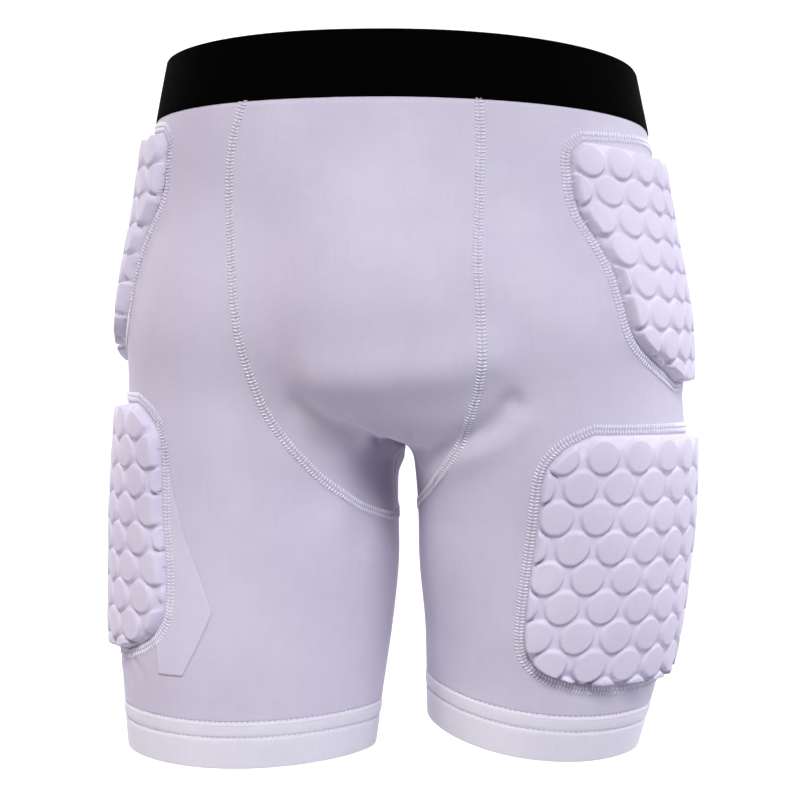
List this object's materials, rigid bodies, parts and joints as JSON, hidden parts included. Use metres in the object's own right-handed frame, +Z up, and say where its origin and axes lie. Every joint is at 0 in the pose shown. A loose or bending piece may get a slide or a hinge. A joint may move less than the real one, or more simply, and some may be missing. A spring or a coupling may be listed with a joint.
{
  "type": "padded compression shorts with hip pads",
  "caption": "Stretch shorts in worn form with an elastic waistband, foam hip pads and thigh pads of raised round discs, and turned hems.",
  "frame": {"origin": "middle of the waistband ring, halfway up the band, on the wearer's middle line", "axes": "+Z up the body, -Y to the wearer's front, +X to the wearer's left"},
  "size_m": [0.3748, 0.2536, 0.4367],
  "materials": {
    "elastic": "black woven elastic, matt",
    "stretch_fabric": "white knitted polyester and elastane, smooth, slight sheen",
    "padded_fabric": "white stretch knit over moulded foam",
    "thread": "white flatlock thread"
  },
  "bodies": {
    "root": {"waistband": "elastic", "front_panel": "stretch_fabric", "back_panel": "stretch_fabric", "leg_panel_right": "stretch_fabric", "leg_panel_left": "stretch_fabric", "leg_hem_right": "stretch_fabric", "leg_hem_left": "stretch_fabric", "hip_pad_right": "padded_fabric", "hip_pad_left": "padded_fabric", "thigh_pad_right": "padded_fabric", "thigh_pad_left": "padded_fabric"}
  },
  "joints": []
}
